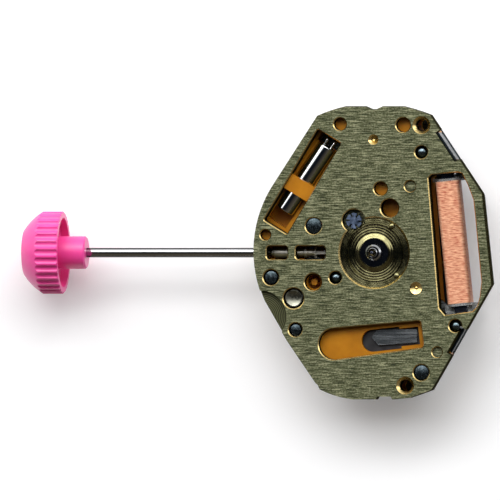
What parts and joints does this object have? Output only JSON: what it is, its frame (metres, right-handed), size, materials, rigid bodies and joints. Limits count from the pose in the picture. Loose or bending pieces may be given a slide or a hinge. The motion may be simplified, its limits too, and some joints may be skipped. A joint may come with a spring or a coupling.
{
  "type": "quartz watch movement",
  "caption": "Analogue quartz watch movement, dial side up: bronze plate, gear train, step motor, battery and a setting stem with a fluted pink crown.",
  "frame": {"origin": "on the axis of the hands, in the plane of the plate's dial side, where the dial rests", "axes": "+Z towards the dial and the hands, -X along the stem to the crown, +Y towards the end of the plate that is away from the battery"},
  "size_m": [0.03, 0.0185, 0.0051],
  "materials": {
    "bronze_plate": "olive bronze plating, brushed",
    "amber_plastic": "moulded, slightly translucent amber",
    "brass": "turned",
    "gold": "polished",
    "steel": "ground",
    "dark_steel": "blued",
    "polished_steel": "polished",
    "copper": "enamelled copper wire",
    "clear_plastic": "clear",
    "black_plastic": "film",
    "board_green": "solder mask",
    "chip_black": "encapsulant",
    "magnet": "sintered",
    "ruby": "polished",
    "crown_pink": "gloss"
  },
  "bodies": {
    "movement": {"main_plate": "bronze_plate", "circuit_spacer": "amber_plastic", "hour_wheel_guard": "bronze_plate", "setting_post": "steel", "centre_tube": "brass", "stator": "steel", "coil_core": "steel", "coil_winding": "copper", "coil_bobbin": "clear_plastic", "coil_screws": "polished_steel", "guide_pins": "dark_steel", "setting_lever_axle": "polished_steel", "setting_jumper": "steel", "crystal_can": "polished_steel", "crystal_leads": "steel", "battery_contact": "steel", "contact_insulator": "black_plastic", "battery_can": "polished_steel", "battery_cap": "polished_steel", "battery_seal": "black_plastic", "circuit_board": "board_green", "circuit_chip": "chip_black", "train_bridge": "bronze_plate", "train_jewels": "ruby", "bridge_screws": "polished_steel", "plate_bushes": "gold", "plate_pins": "dark_steel", "back_cover": "steel", "cover_screws": "polished_steel"},
    "hours": {"hour_wheel": "brass", "hour_pipe": "polished_steel"},
    "minutes": {"cannon_pinion": "dark_steel"},
    "minute_works": {"minute_wheel": "brass", "minute_pinion": "steel"},
    "setting": {"setting_wheel": "steel"},
    "centre": {"centre_wheel": "brass"},
    "third": {"third_wheel": "brass", "third_pinion": "steel"},
    "seconds": {"seconds_wheel": "brass", "seconds_arbor": "steel"},
    "fifth": {"fifth_wheel": "brass", "fifth_arbor": "steel"},
    "rotor": {"rotor_magnet": "magnet", "rotor_arbor": "steel"},
    "yoke": {"yoke": "steel"},
    "clutch": {"clutch_wheel": "polished_steel"},
    "stem": {"stem": "polished_steel", "crown": "crown_pink"},
    "lever": {"setting_lever": "steel"}
  },
  "joints": [
    {"name": "rotor_turn", "type": "hinge", "parent": "movement", "child": "rotor", "pos_m": [0.00268, -0.00223, -0.00124], "axis": [0, 0, 1], "continuous": true},
    {"name": "fifth_turn", "type": "hinge", "parent": "movement", "child": "fifth", "pos_m": [0.00141, -0.00144, -0.00198], "axis": [0, 0, 1], "continuous": true},
    {"name": "seconds_turn", "type": "hinge", "parent": "movement", "child": "seconds", "pos_m": [0, 0, -0.00209], "axis": [0, 0, 1], "continuous": true},
    {"name": "third_turn", "type": "hinge", "parent": "movement", "child": "third", "pos_m": [0.00109, 0.00164, -0.0022], "axis": [0, 0, 1], "continuous": true},
    {"name": "centre_turn", "type": "hinge", "parent": "movement", "child": "centre", "pos_m": [0, 0, -0.0016], "axis": [0, 0, 1], "continuous": true},
    {"name": "minutes_turn", "type": "hinge", "parent": "movement", "child": "minutes", "pos_m": [0, 0, -0.00138], "axis": [0, 0, 1], "continuous": true},
    {"name": "minute_works_turn", "type": "hinge", "parent": "movement", "child": "minute_works", "pos_m": [-0.00132, 0.00201, -0.00138], "axis": [0, 0, 1], "continuous": true},
    {"name": "hours_turn", "type": "hinge", "parent": "movement", "child": "hours", "pos_m": [0, 0, -0.00037], "axis": [0, 0, 1], "continuous": true},
    {"name": "setting_turn", "type": "hinge", "parent": "movement", "child": "setting", "pos_m": [-0.00264, 0, -0.00138], "axis": [0, 0, 1], "continuous": true},
    {"name": "yoke_shift", "type": "slide", "parent": "movement", "child": "yoke", "axis": [1, 0, 0], "range_m": [0, 0.00045]},
    {"name": "crown_turn", "type": "hinge", "parent": "yoke", "child": "clutch", "pos_m": [-0.00425, 0, -0.00115], "axis": [1, 0, 0], "continuous": true},
    {"name": "crown_pull", "type": "slide", "parent": "clutch", "child": "stem", "axis": [-1, 0, 0], "range_m": [0, 0.00125]},
    {"name": "setting_lever_swing", "type": "hinge", "parent": "movement", "child": "lever", "pos_m": [-0.00516, -0.00288, -0.00162], "axis": [0, 0, 1], "range_deg": [0, 15.85]}
  ],
  "couplings": [
    {"joint": "fifth_turn", "follows": "rotor_turn", "ratio": -0.16667},
    {"joint": "seconds_turn", "follows": "rotor_turn", "ratio": 0.033333},
    {"joint": "third_turn", "follows": "rotor_turn", "ratio": -0.0044444},
    {"joint": "centre_turn", "follows": "rotor_turn", "ratio": 0.00055556},
    {"joint": "minute_works_turn", "follows": "minutes_turn", "ratio": -0.44444},
    {"joint": "hours_turn", "follows": "minutes_turn", "ratio": 0.083333},
    {"joint": "setting_turn", "follows": "minutes_turn", "ratio": 1},
    {"joint": "yoke_shift", "follows": "crown_pull", "ratio": 0.36},
    {"joint": "setting_lever_swing", "follows": "crown_pull", "rad_per_m": 221.32}
  ]
}
